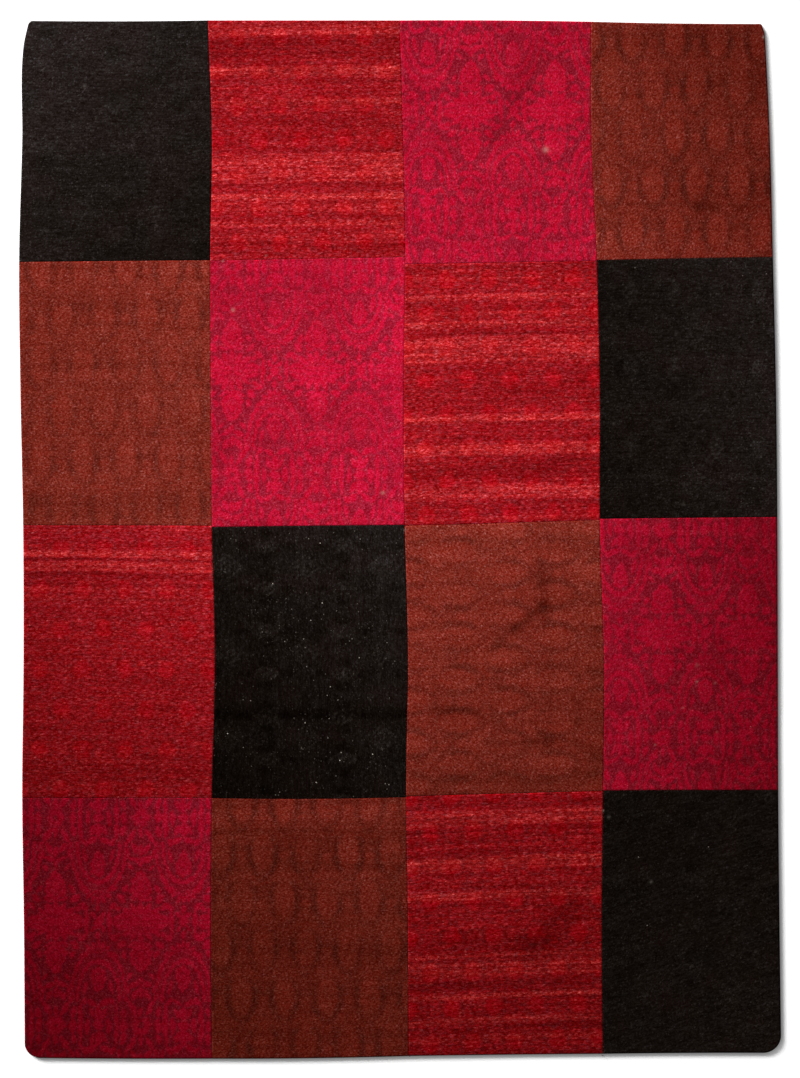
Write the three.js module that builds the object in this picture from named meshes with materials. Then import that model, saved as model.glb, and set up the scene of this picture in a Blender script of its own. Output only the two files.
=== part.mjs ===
import * as THREE from 'three';

// A patchwork rug that lies flat. Sixteen rectangles of low-pile carpet in four dye colours are sewn end to
// end into four lengthwise strips, and the strips are sewn side by side. Millimetres, +Z up, +Y towards the
// rug's top end, +X to its right, origin on the ground under the middle of its outline.

// Thickness of the carpet and the form of a patch's edge
const CARPET_THICKNESS = 9;
const SEAM_GAP = 0.3;
const POINTS_PER_SIDE = 12;

// The rounded edge of the pile, from the ground up: how far the outline is drawn in at each height
const EDGE_PROFILE = [
  { inset: 0, height: 0 },
  { inset: 0, height: 6.2 },
  { inset: 1.1, height: 8.1 },
  { inset: 3.6, height: CARPET_THICKNESS },
];

// Where the lengthwise lines run: the two long edges and the three seams between the strips.
// A row for each station along the rug, from its bottom end to its top end.
const LENGTHWISE_LINES = [
  { along: -1180, leftEdge: -852, seam1: -427, seam2: 20, seam3: 461, rightEdge: 866 },
  { along: -882, leftEdge: -854, seam1: -429, seam2: 18, seam3: 458, rightEdge: 862 },
  { along: -582, leftEdge: -858, seam1: -427, seam2: 14, seam3: 461, rightEdge: 859 },
  { along: -273, leftEdge: -855, seam1: -420, seam2: 18, seam3: 463, rightEdge: 858 },
  { along: 35, leftEdge: -856, seam1: -427, seam2: 11, seam3: 454, rightEdge: 857 },
  { along: 335, leftEdge: -862, seam1: -429, seam2: 8, seam3: 454, rightEdge: 854 },
  { along: 635, leftEdge: -865, seam1: -431, seam2: 12, seam3: 447, rightEdge: 847 },
  { along: 907, leftEdge: -858, seam1: -427, seam2: 7, seam3: 435, rightEdge: 840 },
  { along: 1120, leftEdge: -855, seam1: -434, seam2: 1, seam3: 434, rightEdge: 830 },
  { along: 1180, leftEdge: -842, seam1: -436, seam2: 0, seam3: 434, rightEdge: 826 },
];

// Where the crosswise lines of each strip run, from the top edge down to the bottom edge: the place of the
// line along the rug at the strip's left side, at its middle and at its right side.
const CROSSWISE_LINES = [
  [
    { left: 1178, middle: 1177, right: 1179 },
    { left: 630, middle: 632, right: 634 },
    { left: 32, middle: 32, right: 31 },
    { left: -587, middle: -587, right: -587 },
    { left: -1177, middle: -1179, right: -1179 },
  ],
  [
    { left: 1179, middle: 1179, right: 1179 },
    { left: 633, middle: 637, right: 641 },
    { left: 28, middle: 31, right: 33 },
    { left: -587, middle: -589, right: -585 },
    { left: -1179, middle: -1178, right: -1173 },
  ],
  [
    { left: 1179, middle: 1179, right: 1176 },
    { left: 625, middle: 629, right: 632 },
    { left: 31, middle: 37, right: 44 },
    { left: -583, middle: -577, right: -571 },
    { left: -1173, middle: -1170, right: -1168 },
  ],
  [
    { left: 1176, middle: 1172, right: 1171 },
    { left: 634, middle: 638, right: 641 },
    { left: 47, middle: 49, right: 51 },
    { left: -570, middle: -569, right: -569 },
    { left: -1168, middle: -1166, right: -1166 },
  ],
];

// The four corners of the rug: how far each is cut away across and along the rug, and the power of the
// curve, where 1 is a straight cut and 2 is a quarter of an ellipse.
const RUG_CORNERS = {
  topLeft: { across: 6, along: 8, power: 1.5 },
  topRight: { across: 7, along: 25, power: 1.5 },
  bottomLeft: { across: 36, along: 32, power: 2 },
  bottomRight: { across: 40, along: 39, power: 1.9 },
};

// The cloths: dye colour and roughness of the wool
const CLOTHS = {
  black: { colour: 0x1c1613, roughness: 0.95 },
  striped: { colour: 0x9a1a20, roughness: 0.9 },
  crimson: { colour: 0xa81632, roughness: 0.9 },
  rust: { colour: 0x6e271c, roughness: 0.95 },
};

// Which cloth lies where: a row for each row of patches from the top, a column for each strip from the left
const PATCH_LAYOUT = [
  ['black', 'striped', 'crimson', 'rust'],
  ['rust', 'crimson', 'striped', 'black'],
  ['striped', 'black', 'rust', 'crimson'],
  ['crimson', 'rust', 'striped', 'black'],
];

const LAST_ROW = PATCH_LAYOUT.length - 1;
const LAST_STRIP = PATCH_LAYOUT[0].length - 1;

// A smooth curve through each lengthwise line's stations
const lineNames = ['leftEdge', 'seam1', 'seam2', 'seam3', 'rightEdge'];
const lengthwiseCurves = new THREE.CubicInterpolant(
  LENGTHWISE_LINES.map((station) => station.along),
  LENGTHWISE_LINES.flatMap((station) => lineNames.map((name) => station[name])),
  lineNames.length,
);

// Place across the rug of one lengthwise line at a place along it
function lengthwiseAt(line, along) {
  return lengthwiseCurves.evaluate(along)[line];
}

// Place along the rug of a crosswise line, by the parabola through its left, middle and right places
function crosswiseAt({ left, middle, right }, u) {
  return left * (1 - u) * (1 - 2 * u) + 4 * middle * u * (1 - u) + right * u * (2 * u - 1);
}

// The rug's corner that a patch holds, if it holds one
function cornerOf({ row, strip }) {
  if (![0, LAST_ROW].includes(row) || ![0, LAST_STRIP].includes(strip)) {
    return undefined;
  }
  const end = row === 0 ? 'top' : 'bottom';
  const side = strip === 0 ? 'Left' : 'Right';
  return RUG_CORNERS[end + side];
}

// Draws a point near the rug's corner inwards. Within the corner's box the point's shares p and q of the way
// to the corner shrink in the ratio max(p, q) / (p^n + q^n)^(1/n), so the box's square outline becomes a
// curve of power n. Returns the distances from the long edge and from the end that the point then has.
function roundedCorner(corner, fromSide, fromEnd) {
  const p = 1 - fromSide / corner.across;
  const q = 1 - fromEnd / corner.along;
  if (p <= 0 || q <= 0) {
    return { fromSide, fromEnd };
  }
  const shrink = Math.max(p, q) / (p ** corner.power + q ** corner.power) ** (1 / corner.power);
  return { fromSide: corner.across * (1 - p * shrink), fromEnd: corner.along * (1 - q * shrink) };
}

// A point of a patch: u runs from its left side to its right, v from its top end to its bottom end. The sides
// are drawn in by the inset, and by half the seam gap where another patch lies beside them.
function patchPoint(patch, u, v, inset) {
  const { row, strip } = patch;
  const halfGap = SEAM_GAP / 2;
  const lines = CROSSWISE_LINES[strip];
  const top = crosswiseAt(lines[row], u);
  const bottom = crosswiseAt(lines[row + 1], u);
  const highest = top - inset - (row > 0 ? halfGap : 0);
  const lowest = bottom + inset + (row < LAST_ROW ? halfGap : 0);
  let y = THREE.MathUtils.lerp(highest, lowest, v);
  const left = lengthwiseAt(strip, y);
  const right = lengthwiseAt(strip + 1, y);
  const leftmost = left + inset + (strip > 0 ? halfGap : 0);
  const rightmost = right - inset - (strip < LAST_STRIP ? halfGap : 0);
  let x = THREE.MathUtils.lerp(leftmost, rightmost, u);

  const corner = cornerOf(patch);
  if (corner) {
    const before = {
      fromSide: strip === 0 ? x - left : right - x,
      fromEnd: row === 0 ? top - y : y - bottom,
    };
    const after = roundedCorner(corner, before.fromSide, before.fromEnd);
    x += (after.fromSide - before.fromSide) * (strip === 0 ? 1 : -1);
    y += (after.fromEnd - before.fromEnd) * (row === 0 ? -1 : 1);
  }
  return new THREE.Vector2(x, y);
}

// One closed ring round a patch, counter-clockwise from above, its points closer together near the corners
function patchRing(patch, inset) {
  const steps = Array.from({ length: POINTS_PER_SIDE }, (_, step) => {
    return (1 - Math.cos((Math.PI * step) / POINTS_PER_SIDE)) / 2;
  });
  return [
    ...steps.map((t) => patchPoint(patch, t, 1, inset)),
    ...steps.map((t) => patchPoint(patch, 1, 1 - t, inset)),
    ...steps.map((t) => patchPoint(patch, 1 - t, 0, inset)),
    ...steps.map((t) => patchPoint(patch, 0, t, inset)),
  ];
}

// The closed body of a patch: rings stacked by the edge profile, closed by a flat fan below and above
function patchGeometry(patch) {
  const ringLength = 4 * POINTS_PER_SIDE;
  const positions = EDGE_PROFILE.flatMap(({ inset, height }) => {
    return patchRing(patch, inset).flatMap(({ x, y }) => [x, y, height]);
  });
  const middle = patchPoint(patch, 0.5, 0.5, 0);
  const underside = positions.length / 3;
  const upperside = underside + 1;
  positions.push(middle.x, middle.y, 0, middle.x, middle.y, CARPET_THICKNESS);

  const triangles = [];
  const topRing = (EDGE_PROFILE.length - 1) * ringLength;
  for (let point = 0; point < ringLength; point += 1) {
    const next = (point + 1) % ringLength;
    for (let start = 0; start < topRing; start += ringLength) {
      const above = start + ringLength;
      triangles.push(start + point, start + next, above + next);
      triangles.push(start + point, above + next, above + point);
    }
    triangles.push(underside, next, point);
    triangles.push(upperside, topRing + point, topRing + next);
  }

  const geometry = new THREE.BufferGeometry();
  geometry.setAttribute('position', new THREE.Float32BufferAttribute(positions, 3));
  geometry.setIndex(triangles);
  geometry.computeVertexNormals();
  return geometry;
}

// One patch as a named mesh of its cloth
function patchMesh(row, strip) {
  const cloth = PATCH_LAYOUT[row][strip];
  const { colour, roughness } = CLOTHS[cloth];
  const material = new THREE.MeshStandardMaterial({ color: colour, roughness, metalness: 0 });
  const mesh = new THREE.Mesh(patchGeometry({ row, strip }), material);
  mesh.name = `patch_r${row + 1}_s${strip + 1}_${cloth}`;
  return mesh;
}

const rug = new THREE.Group();
PATCH_LAYOUT.forEach((cloths, row) => {
  cloths.forEach((_, strip) => rug.add(patchMesh(row, strip)));
});

export default rug;
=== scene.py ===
"""A flat patchwork rug as a Blender add-on: sixteen old carpets, overdyed and sewn into four strips."""

from collections import namedtuple
from types import SimpleNamespace

import bpy
import numpy as np
from bpy.props import FloatProperty, FloatVectorProperty, PointerProperty
from bpy.types import Operator, Panel, PropertyGroup
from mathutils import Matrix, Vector


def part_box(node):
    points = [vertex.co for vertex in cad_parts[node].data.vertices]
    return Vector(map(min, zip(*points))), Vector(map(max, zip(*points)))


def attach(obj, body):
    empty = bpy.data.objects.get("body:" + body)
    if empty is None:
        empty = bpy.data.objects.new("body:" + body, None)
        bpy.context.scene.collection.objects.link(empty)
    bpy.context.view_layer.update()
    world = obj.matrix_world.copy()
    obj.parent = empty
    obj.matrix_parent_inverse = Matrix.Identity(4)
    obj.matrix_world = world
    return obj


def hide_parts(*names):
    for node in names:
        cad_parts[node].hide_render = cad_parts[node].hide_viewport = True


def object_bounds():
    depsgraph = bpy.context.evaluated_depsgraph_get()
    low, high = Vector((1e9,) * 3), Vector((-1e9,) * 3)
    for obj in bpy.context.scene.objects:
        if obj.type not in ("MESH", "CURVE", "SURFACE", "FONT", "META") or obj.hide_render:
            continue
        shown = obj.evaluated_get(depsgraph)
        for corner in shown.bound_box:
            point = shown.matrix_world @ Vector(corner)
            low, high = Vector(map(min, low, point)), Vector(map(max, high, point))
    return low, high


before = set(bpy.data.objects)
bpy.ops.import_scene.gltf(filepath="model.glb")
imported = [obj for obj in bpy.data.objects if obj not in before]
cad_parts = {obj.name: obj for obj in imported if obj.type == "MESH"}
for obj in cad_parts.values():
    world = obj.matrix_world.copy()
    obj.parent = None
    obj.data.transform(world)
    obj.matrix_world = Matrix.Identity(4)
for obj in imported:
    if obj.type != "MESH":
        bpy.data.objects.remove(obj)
CAD_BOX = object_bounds()

bl_info = {
    "name": "Patchwork Rug",
    "version": (1, 0, 0),
    "blender": (4, 5, 0),
    "location": "3D View > Sidebar > Rug",
    "description": "Dresses a flat patchwork rug in knotted pile, dyes and sewing, and lights it",
    "category": "Object",
}

MM = 0.001
CARPET_THICKNESS = CAD_BOX[1][2] - CAD_BOX[0][2]

# The picture's height in pixels, and how much of the rug one pixel shows
PICTURE_HEIGHT = 1078
PIXEL = 2.27 * MM

# Where the lengthwise lines run, as in the solids: the two long edges and the three seams between the
# strips. Columns, in millimetres: along, left edge, seam 1, seam 2, seam 3, right edge.
LENGTHWISE_LINES = MM * np.array([
    (-1180, -852, -427, 20, 461, 866),
    (-882, -854, -429, 18, 458, 862),
    (-582, -858, -427, 14, 461, 859),
    (-273, -855, -420, 18, 463, 858),
    (35, -856, -427, 11, 454, 857),
    (335, -862, -429, 8, 454, 854),
    (635, -865, -431, 12, 447, 847),
    (907, -858, -427, 7, 435, 840),
    (1120, -855, -434, 1, 434, 830),
    (1180, -842, -436, 0, 434, 826),
])

# Where the crosswise lines of each strip run, as in the solids, from the top edge down to the bottom edge.
# Columns, in millimetres: place along the rug at the strip's left side, at its middle, at its right side.
CROSSWISE_LINES = MM * np.array([
    [(1178, 1177, 1179), (630, 632, 634), (32, 32, 31), (-587, -587, -587), (-1177, -1179, -1179)],
    [(1179, 1179, 1179), (633, 637, 641), (28, 31, 33), (-587, -589, -585), (-1179, -1178, -1173)],
    [(1179, 1179, 1176), (625, 629, 632), (31, 37, 44), (-583, -577, -571), (-1173, -1170, -1168)],
    [(1176, 1172, 1171), (634, 638, 641), (47, 49, 51), (-570, -569, -569), (-1168, -1166, -1166)],
])

# The rug's four rounded corners, by the row and strip of the patch that holds each
Corner = namedtuple("Corner", "across along power")
RUG_CORNERS = {
    (1, 1): Corner(across=6 * MM, along=8 * MM, power=1.5),
    (1, 4): Corner(across=7 * MM, along=25 * MM, power=1.5),
    (4, 1): Corner(across=36 * MM, along=32 * MM, power=2.0),
    (4, 4): Corner(across=40 * MM, along=39 * MM, power=1.9),
}
ROWS = 4
STRIPS = 4

# The patches. Columns: row, strip, cloth, tone of the dye lot, which also holds painted shade that makes the
# lower rows darker, how much darker painted shade makes it from left to right and from top to bottom,
# contrast of the figure, the figure's origin across and along the rug in millimetres, the slant of the pile's
# strokes in degrees from the rug's width, about how many knots in ten thousand are worn, of which more lie
# where the tips are pale, and the degrees by which the figure is turned, if it is.
Patch = namedtuple(
    "Patch",
    "row strip cloth tone fade_across fade_along contrast across along slant worn turn",
    defaults=(0,),
)
PATCHES = (
    Patch(1, 1, "black", 1.23, 0.35, 0.50, 0.3, -640, 1080, 0, 6),
    Patch(1, 2, "striped", 0.89, 0.00, -0.22, 0.8, -224, 908, 0, 0),
    Patch(1, 3, "crimson", 0.91, 0.03, -0.20, 1.0, 160, 973, 66, 0),
    Patch(1, 4, "rust", 0.70, 0.46, -0.16, 0.95, 527, 919, 40, 3),
    Patch(2, 1, "rust", 0.88, -0.17, 0.02, 0.65, -622, 400, 0, 3),
    Patch(2, 2, "crimson", 1.015, -0.20, -0.05, 0.8, -188, 383, 15, 0),
    Patch(2, 3, "striped", 0.95, 0.11, 0.01, 0.9, 203, 438, 0, 0),
    Patch(2, 4, "black", 0.96, -0.55, 0.19, 0.5, 524, 562, 0, 20, 90),
    Patch(3, 1, "striped", 0.71, -0.30, 0.46, 0.8, -625, -297, 0, 0),
    Patch(3, 2, "black", 0.765, -0.54, 0.73, 0.9, -129, -111, 90, 400),
    Patch(3, 3, "rust", 0.85, 0.15, 0.42, 0.7, 240, -173, -30, 6, 90),
    Patch(3, 4, "crimson", 0.557, 0.51, 0.25, 1.1, 597, -214, 41, 4),
    Patch(4, 1, "crimson", 0.415, -0.52, 0.51, 1.2, -588, -868, -30, 0),
    Patch(4, 2, "rust", 0.50, -0.22, 0.36, 0.9, -262, -818, 0, 9),
    Patch(4, 3, "striped", 0.53, 0.09, 0.39, 1.05, 214, -1059, 0, 0),
    Patch(4, 4, "black", 0.67, -0.17, -0.21, 0.3, 660, -870, 16, 12),
)

# Pale specks that stand out. Columns, in millimetres: across, along, radius; and how much cotton shows.
Speck = namedtuple("Speck", "across along radius bare")
SPECKS = (
    Speck(331, 885, 6, 0.30),
    Speck(-379, 521, 4, 0.25),
    Speck(-39, 106, 4, 0.25),
    Speck(826, 1141, 3, 0.40),
    Speck(-716, 1029, 3, 0.10),
    Speck(-740, 1102, 2, 0.05),
    Speck(-690, 955, 2, 0.05),
    Speck(-532, 839, 2, 0.05),
    Speck(-439, 742, 2, 0.06),
    Speck(-403, 632, 2, 0.25),
    Speck(-304, 644, 2, 0.20),
    Speck(10, 22, 2, 0.30),
    Speck(485, 263, 3, 0.06),
    Speck(515, 296, 2, 0.05),
    Speck(643, 81, 3, 0.05),
    Speck(627, 464, 2, 0.04),
    Speck(674, -323, 2, 0.25),
    Speck(715, -326, 3, 0.07),
    Speck(674, -285, 4, 0.06),
    Speck(719, -437, 2, 0.10),
    Speck(642, -382, 2, 0.15),
    Speck(579, -466, 2, 0.15),
    Speck(461, -616, 2, 0.30),
    Speck(474, -630, 3, 0.10),
    Speck(570, -777, 3, 0.10),
    Speck(728, -821, 2, 0.05),
    Speck(652, -850, 2, 0.05),
    Speck(808, -935, 2, 0.06),
    Speck(542, -997, 2, 0.05),
)

# Creases, along which painted shade darkens the tone, and darker and paler lines of the cloth. Columns: row,
# strip, both ends across and along the rug and half width in millimetres, and how much of the tone is lost
# along the line, or won if below zero.
Crease = namedtuple("Crease", "row strip across1 along1 across2 along2 half_width loss")
CREASES = (
    Crease(1, 3, 309, 1084, 220, 927, 26, 0.16),
    Crease(1, 4, 455, 765, 830, 750, 9, 0.10),
    Crease(1, 4, 680, 756, 715, 752, 16, 0.30),
    Crease(2, 3, 430, 210, 290, 140, 22, 0.18),
    Crease(3, 2, -420, -396, 16, -396, 14, 0.45),
    Crease(3, 3, 318, -50, 327, -160, 14, 0.25),
    Crease(3, 3, 327, -151, 263, -201, 13, 0.32),
    Crease(3, 3, 263, -201, 212, -245, 10, 0.25),
    Crease(3, 3, 85, -390, 180, -390, 11, 0.28),
    Crease(3, 3, 200, -462, 345, -460, 9, 0.25),
    Crease(3, 3, 320, -440, 461, -482, 14, 0.25),
    Crease(3, 3, 409, -425, 405, -370, 14, 0.15),
    Crease(3, 3, 202, -505, 415, -507, 14, -0.12),
    Crease(3, 3, 89, -548, 354, -550, 10, 0.12),
    Crease(4, 2, -420, -628, 10, -625, 22, -0.22),
    Crease(4, 2, -420, -664, 10, -662, 7, 0.16),
    Crease(4, 2, -420, -744, 10, -742, 10, 0.13),
    Crease(4, 2, -420, -928, 10, -940, 22, 0.15),
    Crease(4, 3, 294, -929, 387, -836, 30, 0.32),
)

# The bands of paler and darker dye that run across the striped patches. Columns: row, strip, place along
# the rug and half width in millimetres, and how far the band shows the pale tips, or darkens if below zero.
Band = namedtuple("Band", "row strip along half_width lift")
BANDS = (
    Band(1, 2, 1157, 15, 0.40),
    Band(1, 2, 1117, 22, -0.30),
    Band(1, 2, 1068, 4, 0.20),
    Band(1, 2, 1063, 11, 0.42),
    Band(1, 2, 1040, 5, -0.20),
    Band(1, 2, 992, 7, 0.42),
    Band(1, 2, 950, 30, -0.10),
    Band(1, 2, 880, 3, -0.20),
    Band(1, 2, 842, 32, 0.34),
    Band(1, 2, 804, 5, -0.35),
    Band(1, 2, 779, 6, 0.70),
    Band(1, 2, 757, 14, 0.18),
    Band(1, 2, 732, 5, -0.15),
    Band(1, 2, 718, 6, 0.40),
    Band(1, 2, 687, 9, 0.12),
    Band(1, 2, 662, 11, -0.28),
    Band(2, 3, 612, 11, -0.15),
    Band(2, 3, 594, 7, 0.10),
    Band(2, 3, 550, 5, 0.45),
    Band(2, 3, 510, 7, 0.18),
    Band(2, 3, 488, 7, 0.60),
    Band(2, 3, 466, 3, -0.30),
    Band(2, 3, 453, 4, 0.15),
    Band(2, 3, 430, 28, 0.42),
    Band(2, 3, 385, 11, -0.12),
    Band(2, 3, 328, 30, -0.15),
    Band(2, 3, 274, 8, 0.50),
    Band(2, 3, 228, 5, -0.20),
    Band(2, 3, 203, 13, 0.45),
    Band(2, 3, 158, 27, -0.28),
    Band(2, 3, 106, 14, 0.40),
    Band(2, 3, 74, 14, -0.18),
    Band(2, 3, 46, 5, 0.15),
    Band(3, 1, 19, 6, 0.10),
    Band(3, 1, -35, 7, 0.55),
    Band(3, 1, -47, 4, -0.30),
    Band(3, 1, -63, 11, 0.42),
    Band(3, 1, -80, 5, -0.28),
    Band(3, 1, -97, 12, -0.12),
    Band(3, 1, -115, 5, 0.15),
    Band(3, 1, -137, 8, 0.10),
    Band(3, 1, -514, 28, -0.15),
    Band(4, 3, -594, 8, -0.12),
    Band(4, 3, -634, 17, 0.45),
    Band(4, 3, -657, 6, -0.35),
    Band(4, 3, -686, 26, -0.08),
    Band(4, 3, -727, 6, 0.75),
    Band(4, 3, -741, 7, 0.35),
    Band(4, 3, -780, 10, 0.08),
    Band(4, 3, -807, 8, 0.45),
    Band(4, 3, -918, 11, -0.18),
    Band(4, 3, -943, 5, 0.38),
    Band(4, 3, -973, 16, 0.36),
    Band(4, 3, -1009, 9, -0.20),
    Band(4, 3, -1036, 5, 0.55),
    Band(4, 3, -1091, 7, 0.36),
    Band(4, 3, -1109, 6, -0.18),
    Band(4, 3, -1132, 7, 0.22),
)

# How the bands of each striped patch run. Columns, in millimetres: how far they climb over its width, how
# high they arch, and the distance between its rows of ovals.
BandRun = namedtuple("BandRun", "climb arch oval_rows")
BAND_RUNS = {
    (1, 2): BandRun(5, 0, 78),
    (2, 3): BandRun(11, 2, 76),
    (3, 1): BandRun(-4, 2, 91),
    (4, 3): BandRun(19, 2, 80),
}

# Repeats of the figures, across and along the rug. Lanterns, ovals and little rings stand in half-dropped
# rows, in which each next row is shifted by half a repeat.
DAMASK_REPEAT = (193 * MM, 472 * MM)
LANTERN_REPEAT = (97 * MM, 109 * MM)
OVAL_PITCH = 96 * MM
RING_REPEAT = (25 * MM, 13 * MM)
EYE_REPEAT = (175 * MM, 97 * MM)

# What a figure gives each knot: the share of figure dye, the share of paler tips, and a factor on its tone
Dyeing = namedtuple("Dyeing", "figure light shade")

# Leaves and petals of the damask in one quarter of its repeat, which is mirrored both ways. They stand
# beside the axis of the palmettes or the axis of the wreaths. Columns: axis, distance aside from it and away
# from the row of large palmettes, half length and half width in millimetres, and degrees from the rug's
# width.
Leaf = namedtuple("Leaf", "axis aside away length width degrees")
DAMASK_LEAVES = (
    Leaf("palmette", 41, 0, 19, 5, 0),
    Leaf("palmette", 44, 10, 17, 6, 170),
    Leaf("palmette", 0, 31, 14, 5, 90),
    Leaf("palmette", 15, 28, 15, 5, 65),
    Leaf("palmette", 29, 21, 16, 5, 38),
    Leaf("palmette", 13, 6, 14, 5, 12),
    Leaf("palmette", 70, 0, 30, 4, 90),
    Leaf("palmette", 62, 36, 11, 5, 150),
    Leaf("palmette", 52, 31, 8, 4, 60),
    Leaf("palmette", 43, 53, 11, 6, 40),
    Leaf("palmette", 37, 74, 9, 4, 120),
    Leaf("palmette", 17, 52, 11, 4, 25),
    Leaf("palmette", 25, 124, 9, 3, 50),
    Leaf("palmette", 58, 76, 9, 3, 120),
    Leaf("palmette", 0, 134, 10, 4, 90),
    Leaf("palmette", 13, 142, 14, 5, 20),
    Leaf("palmette", 0, 160, 13, 6, 90),
    Leaf("palmette", 14, 166, 14, 5, 60),
    Leaf("palmette", 33, 160, 15, 5, 70),
    Leaf("palmette", 20, 196, 17, 5, 120),
    Leaf("palmette", 0, 205, 12, 4, 90),
    Leaf("palmette", 39, 236, 15, 6, 90),
    Leaf("palmette", 40, 206, 12, 5, 105),
    Leaf("wreath", 0, 0, 13, 8, 90),
    Leaf("wreath", 11, 15, 8, 4, 50),
    Leaf("wreath", 0, 30, 9, 4, 90),
    Leaf("wreath", 0, 56, 13, 4, 90),
    Leaf("wreath", 9, 58, 13, 4, 110),
    Leaf("wreath", 19, 64, 12, 4, 130),
    Leaf("wreath", 30, 150, 15, 4, 78),
    Leaf("wreath", 15, 184, 13, 5, 150),
    Leaf("wreath", 31, 180, 9, 4, 65),
    Leaf("wreath", 0, 208, 17, 7, 90),
    Leaf("wreath", 14, 208, 12, 4, 110),
    Leaf("wreath", 41, 222, 36, 4, 88),
    Leaf("wreath", 0, 236, 12, 9, 0),
    Leaf("wreath", 24, 236, 18, 5, 90),
)

# Drops of the damask. Columns: axis, distance away from the row of large palmettes, half width and half
# length in millimetres, and the number of lobes.
Drop = namedtuple("Drop", "axis away width length lobes")
DAMASK_DROPS = (
    Drop("palmette", 82, 22, 32, 10),
    Drop("wreath", 131, 15, 27, 8),
)

# How a field of the damask becomes a line or a body: the values between which each fades in, and the dark
# vein between two lines, by the difference of their fields over which it fades and by its depth
DAMASK_EDGES = SimpleNamespace(
    line=(-0.9, 0.3),
    body=(0.0, 0.2),
    vein=(-0.6, 0.0),
    vein_width=0.8,
    vein_depth=0.8,
)

# The damask's large palmette and its wreath: half sizes and strength of the body. The wreath runs along half
# an ellipse whose middle is away from the row of palmettes. Its other measures are shares of that ellipse.
PALMETTE = SimpleNamespace(half=(58 * MM, 36 * MM), strength=0.5)
WREATH = SimpleNamespace(
    half=(55 * MM, 96 * MM),
    strength=0.25,
    away=172 * MM,
    open_from=0.1,
    body_width=0.24,
    strand_offset=0.14,
    strand_width=0.045,
    scallops=28,
    scallop_depth=0.3,
)

# The damask's rosette, and what its drops have in common. Ring, core and lobes are shares of a drop's half
# sizes, and the ribs slope by so much along for each millimetre aside.
ROSETTE = SimpleNamespace(radius=15 * MM, lobes=6, depth=0.12, eye=8 * MM)
DROP = SimpleNamespace(
    taper=0.35,
    lobe_depth=0.07,
    ring=0.85,
    ring_width=0.16,
    core=0.32,
    rib_pitch=11 * MM,
    rib_slope=1.2,
    strength=0.6,
    rib_strength=0.3,
)

# The lantern of the rust trellis, its dark halo, the bell over it and the bell's knob: half sizes, heights
# over the lantern's middle, the values between which edges fade, and tones
LANTERN = SimpleNamespace(half=(23 * MM, 45 * MM), edge=(0.75, 1.15), tone=0.3)
HALO = SimpleNamespace(
    out=1.3,
    reach=0.36,
    reach_loss=0.14,
    weight_loss=0.35,
    under=(15 * MM, 55 * MM),
    starts=(-50 * MM, -10 * MM),
    tone=-0.45,
    loss_at_knob=0.7,
)
BELL = SimpleNamespace(
    half_width=48 * MM,
    eaves=56 * MM,
    reach=24 * MM,
    side=(-4 * MM, 3 * MM),
    foot=(30 * MM, 50 * MM),
    tone=0.2,
)
KNOB = SimpleNamespace(radius=11 * MM, height=101 * MM, edge=(0.7, 1.2), tone=0.35)
TRELLIS_GROUND = -0.1

# The striped carpets' ovals, the little rings between them and the rope lines in their bands: half sizes, the
# values between which edges fade, the rings' line and strength, and the distance between rope lines
OVAL = SimpleNamespace(half=(23 * MM, 24 * MM), edge=(0.55, 1.15), clear=(1.2, 1.5))
RING = SimpleNamespace(half=(8 * MM, 6 * MM), line=0.85, line_width=0.3, strength=0.6)
ROPE_PITCH = 9 * MM

# The black carpets' eyes, with the discs and bars beside them, and the larger lozenges: half sizes and
# places. Each line of a lozenge has its share of the way out, its width and its strength.
EYE = SimpleNamespace(half=(33 * MM, 19 * MM), lines=((0.0, 0.35, 1.3), (0.85, 0.15, 0.8)))
LOZENGE = SimpleNamespace(
    half=(34 * MM, 27 * MM),
    lines=((0.0, 0.25, 1.0), (0.55, 0.12, 1.0), (1.0, 0.12, 1.0)),
)
DISC = SimpleNamespace(half=(18 * MM, 12 * MM), below=26 * MM)
BAR = SimpleNamespace(half=(20 * MM, 7 * MM), aside=49 * MM)
DISC_EDGE = (0.7, 1.3)

# How the parts of each cloth's figure add up to figure dye, pale tips and shade
BLACK_MIX = SimpleNamespace(
    tint=0.27,
    tint_range=0.25,
    wear=0.5,
    broken=0.8,
    broken_range=0.6,
    eyes=0.65,
    lozenges=0.5,
    thread_tips=0.14,
    wear_shade=0.03,
    thread_shade=0.06,
    tuft_shade=0.03,
    disc_shade=0.35,
)
STRIPED_MIX = SimpleNamespace(
    ground=0.3,
    motif=0.6,
    grains=0.35,
    band_middle=0.8,
    band_rim=0.5,
    band=0.65,
    band_motif=0.25,
    band_grains=0.3,
    band_streaks=0.4,
    band_rope=0.25,
    stray_tips=0.15,
    stray_limit=0.6,
    band_shade=0.7,
    streak_shade=0.22,
)
CRIMSON_MIX = SimpleNamespace(
    knot_level=0.08,
    patch_level=0.45,
    contrast=0.95,
    wear=0.4,
    middle=0.45,
    grain_tips=0.15,
    weft_tips=0.06,
    wear_shade=0.06,
    blot_shade=0.07,
    weft_shade=0.04,
)
RUST_MIX = SimpleNamespace(
    contrast=0.85,
    wear=0.6,
    knots=0.1,
    grain_tips=0.08,
    weft_shade=0.1,
    warp_shade=0.06,
    band_shade=0.09,
)
EVEN_MIX = 0.5

# What the knots of every cloth have in common: shares of the tone that single knots, clumps and blotches
# change, the tone at the very edge, which is painted shade on the rounded edges and in the seam grooves, the
# unevenness of the wear and how it grows with the pale tips, and how far creases sink the cloth
KNOTS = SimpleNamespace(
    grain=0.06,
    clump_grain=0.06,
    blotch_grain=0.05,
    painted_edge_shade=0.7,
    worn_in=10000,
    worn_range=1.6,
    worn_least=0.6,
    worn_by_tips=3.0,
    crease_depth=1.5,
)

# Grid lines over the rounded shoulder of a patch, and the part of the face they take, in shoulder widths
SHOULDER_LINES = 5
SHOULDER_SPAN = 1.3

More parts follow.
